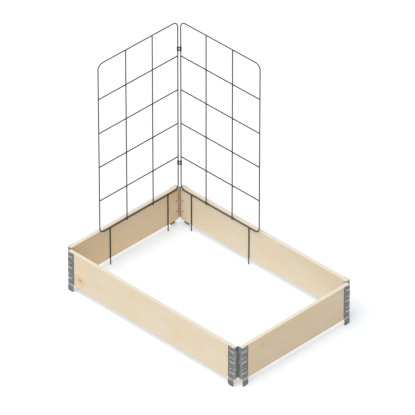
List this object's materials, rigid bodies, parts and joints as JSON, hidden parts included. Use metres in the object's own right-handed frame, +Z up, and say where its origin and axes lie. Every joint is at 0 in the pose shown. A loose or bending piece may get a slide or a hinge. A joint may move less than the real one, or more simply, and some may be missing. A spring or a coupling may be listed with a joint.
{
  "type": "planter with trellis",
  "caption": "Low rectangular raised-bed frame of timber boards on steel corner hinges with foot tabs; two black wire trellis panels stand in one inside corner, tied with clips.",
  "frame": {"origin": "on the floor, under the middle of the timber frame", "axes": "+Z up, +X along the long boards towards the end without trellis, +Y from the front long board to the back one, so the trellis stands at -X, +Y"},
  "size_m": [1.2092, 0.8092, 1.222],
  "materials": {
    "pine": "bare planed pine, knots and light grain along the boards",
    "galvanised_steel": "dull galvanised pressed sheet steel",
    "black_wire": "black coated steel wire, satin",
    "clip_plastic": "black moulded plastic, matt"
  },
  "bodies": {
    "back_wall": {"board_back": "pine", "hinge_back_left_long_leaf": "galvanised_steel", "rivet_back_left_long_1": "galvanised_steel", "rivet_back_left_long_2": "galvanised_steel", "rivet_back_left_long_3": "galvanised_steel", "hinge_back_right_long_leaf": "galvanised_steel", "rivet_back_right_long_1": "galvanised_steel", "rivet_back_right_long_2": "galvanised_steel", "rivet_back_right_long_3": "galvanised_steel", "hinge_back_left_pin": "galvanised_steel", "hinge_back_right_pin": "galvanised_steel"},
    "left_wall": {"board_left": "pine", "hinge_back_left_short_leaf": "galvanised_steel", "rivet_back_left_short_1": "galvanised_steel", "rivet_back_left_short_2": "galvanised_steel", "rivet_back_left_short_3": "galvanised_steel", "hinge_front_left_short_leaf": "galvanised_steel", "rivet_front_left_short_1": "galvanised_steel", "rivet_front_left_short_2": "galvanised_steel", "rivet_front_left_short_3": "galvanised_steel"},
    "right_wall": {"board_right": "pine", "hinge_back_right_short_leaf": "galvanised_steel", "rivet_back_right_short_1": "galvanised_steel", "rivet_back_right_short_2": "galvanised_steel", "rivet_back_right_short_3": "galvanised_steel", "hinge_front_right_short_leaf": "galvanised_steel", "rivet_front_right_short_1": "galvanised_steel", "rivet_front_right_short_2": "galvanised_steel", "rivet_front_right_short_3": "galvanised_steel"},
    "front_wall": {"board_front": "pine", "hinge_front_left_long_leaf": "galvanised_steel", "rivet_front_left_long_1": "galvanised_steel", "rivet_front_left_long_2": "galvanised_steel", "rivet_front_left_long_3": "galvanised_steel", "hinge_front_right_long_leaf": "galvanised_steel", "rivet_front_right_long_1": "galvanised_steel", "rivet_front_right_long_2": "galvanised_steel", "rivet_front_right_long_3": "galvanised_steel", "hinge_front_left_pin": "galvanised_steel", "hinge_front_right_pin": "galvanised_steel"},
    "right_panel": {"trellis_right_frame": "black_wire", "trellis_right_rung_1": "black_wire", "trellis_right_rung_2": "black_wire", "trellis_right_rung_3": "black_wire", "trellis_right_rung_4": "black_wire", "trellis_right_upright_1": "black_wire", "trellis_right_upright_2": "black_wire", "trellis_right_leg_1": "black_wire", "trellis_right_leg_2": "black_wire", "clip_lower": "clip_plastic", "clip_upper": "clip_plastic"},
    "left_panel": {"trellis_left_frame": "black_wire", "trellis_left_rung_1": "black_wire", "trellis_left_rung_2": "black_wire", "trellis_left_rung_3": "black_wire", "trellis_left_rung_4": "black_wire", "trellis_left_upright_1": "black_wire", "trellis_left_upright_2": "black_wire", "trellis_left_leg_1": "black_wire", "trellis_left_leg_2": "black_wire"}
  },
  "joints": [
    {"name": "frame_fold", "type": "hinge", "parent": "back_wall", "child": "left_wall", "pos_m": [-0.5746, 0.3746, 0], "axis": [0, 0, -1], "range_deg": [0, 85]},
    {"name": "frame_fold_right", "type": "hinge", "parent": "back_wall", "child": "right_wall", "pos_m": [0.5746, 0.3746, 0], "axis": [0, 0, -1], "range_deg": [0, 85]},
    {"name": "frame_fold_front", "type": "hinge", "parent": "left_wall", "child": "front_wall", "pos_m": [-0.5746, -0.3746, 0], "axis": [0, 0, 1], "range_deg": [0, 85]},
    {"name": "trellis_lift", "type": "slide", "parent": "back_wall", "child": "right_panel", "axis": [0, 0, 1], "range_m": [0, 0.25]},
    {"name": "left_panel_turn", "type": "hinge", "parent": "right_panel", "child": "left_panel", "pos_m": [-0.5757, 0.3653, 0], "axis": [0, 0, -1], "range_deg": [0, 85]}
  ],
  "couplings": [
    {"joint": "frame_fold_right", "follows": "frame_fold", "ratio": 1},
    {"joint": "frame_fold_front", "follows": "frame_fold", "ratio": 1},
    {"joint": "left_panel_turn", "follows": "frame_fold", "ratio": 1}
  ]
}
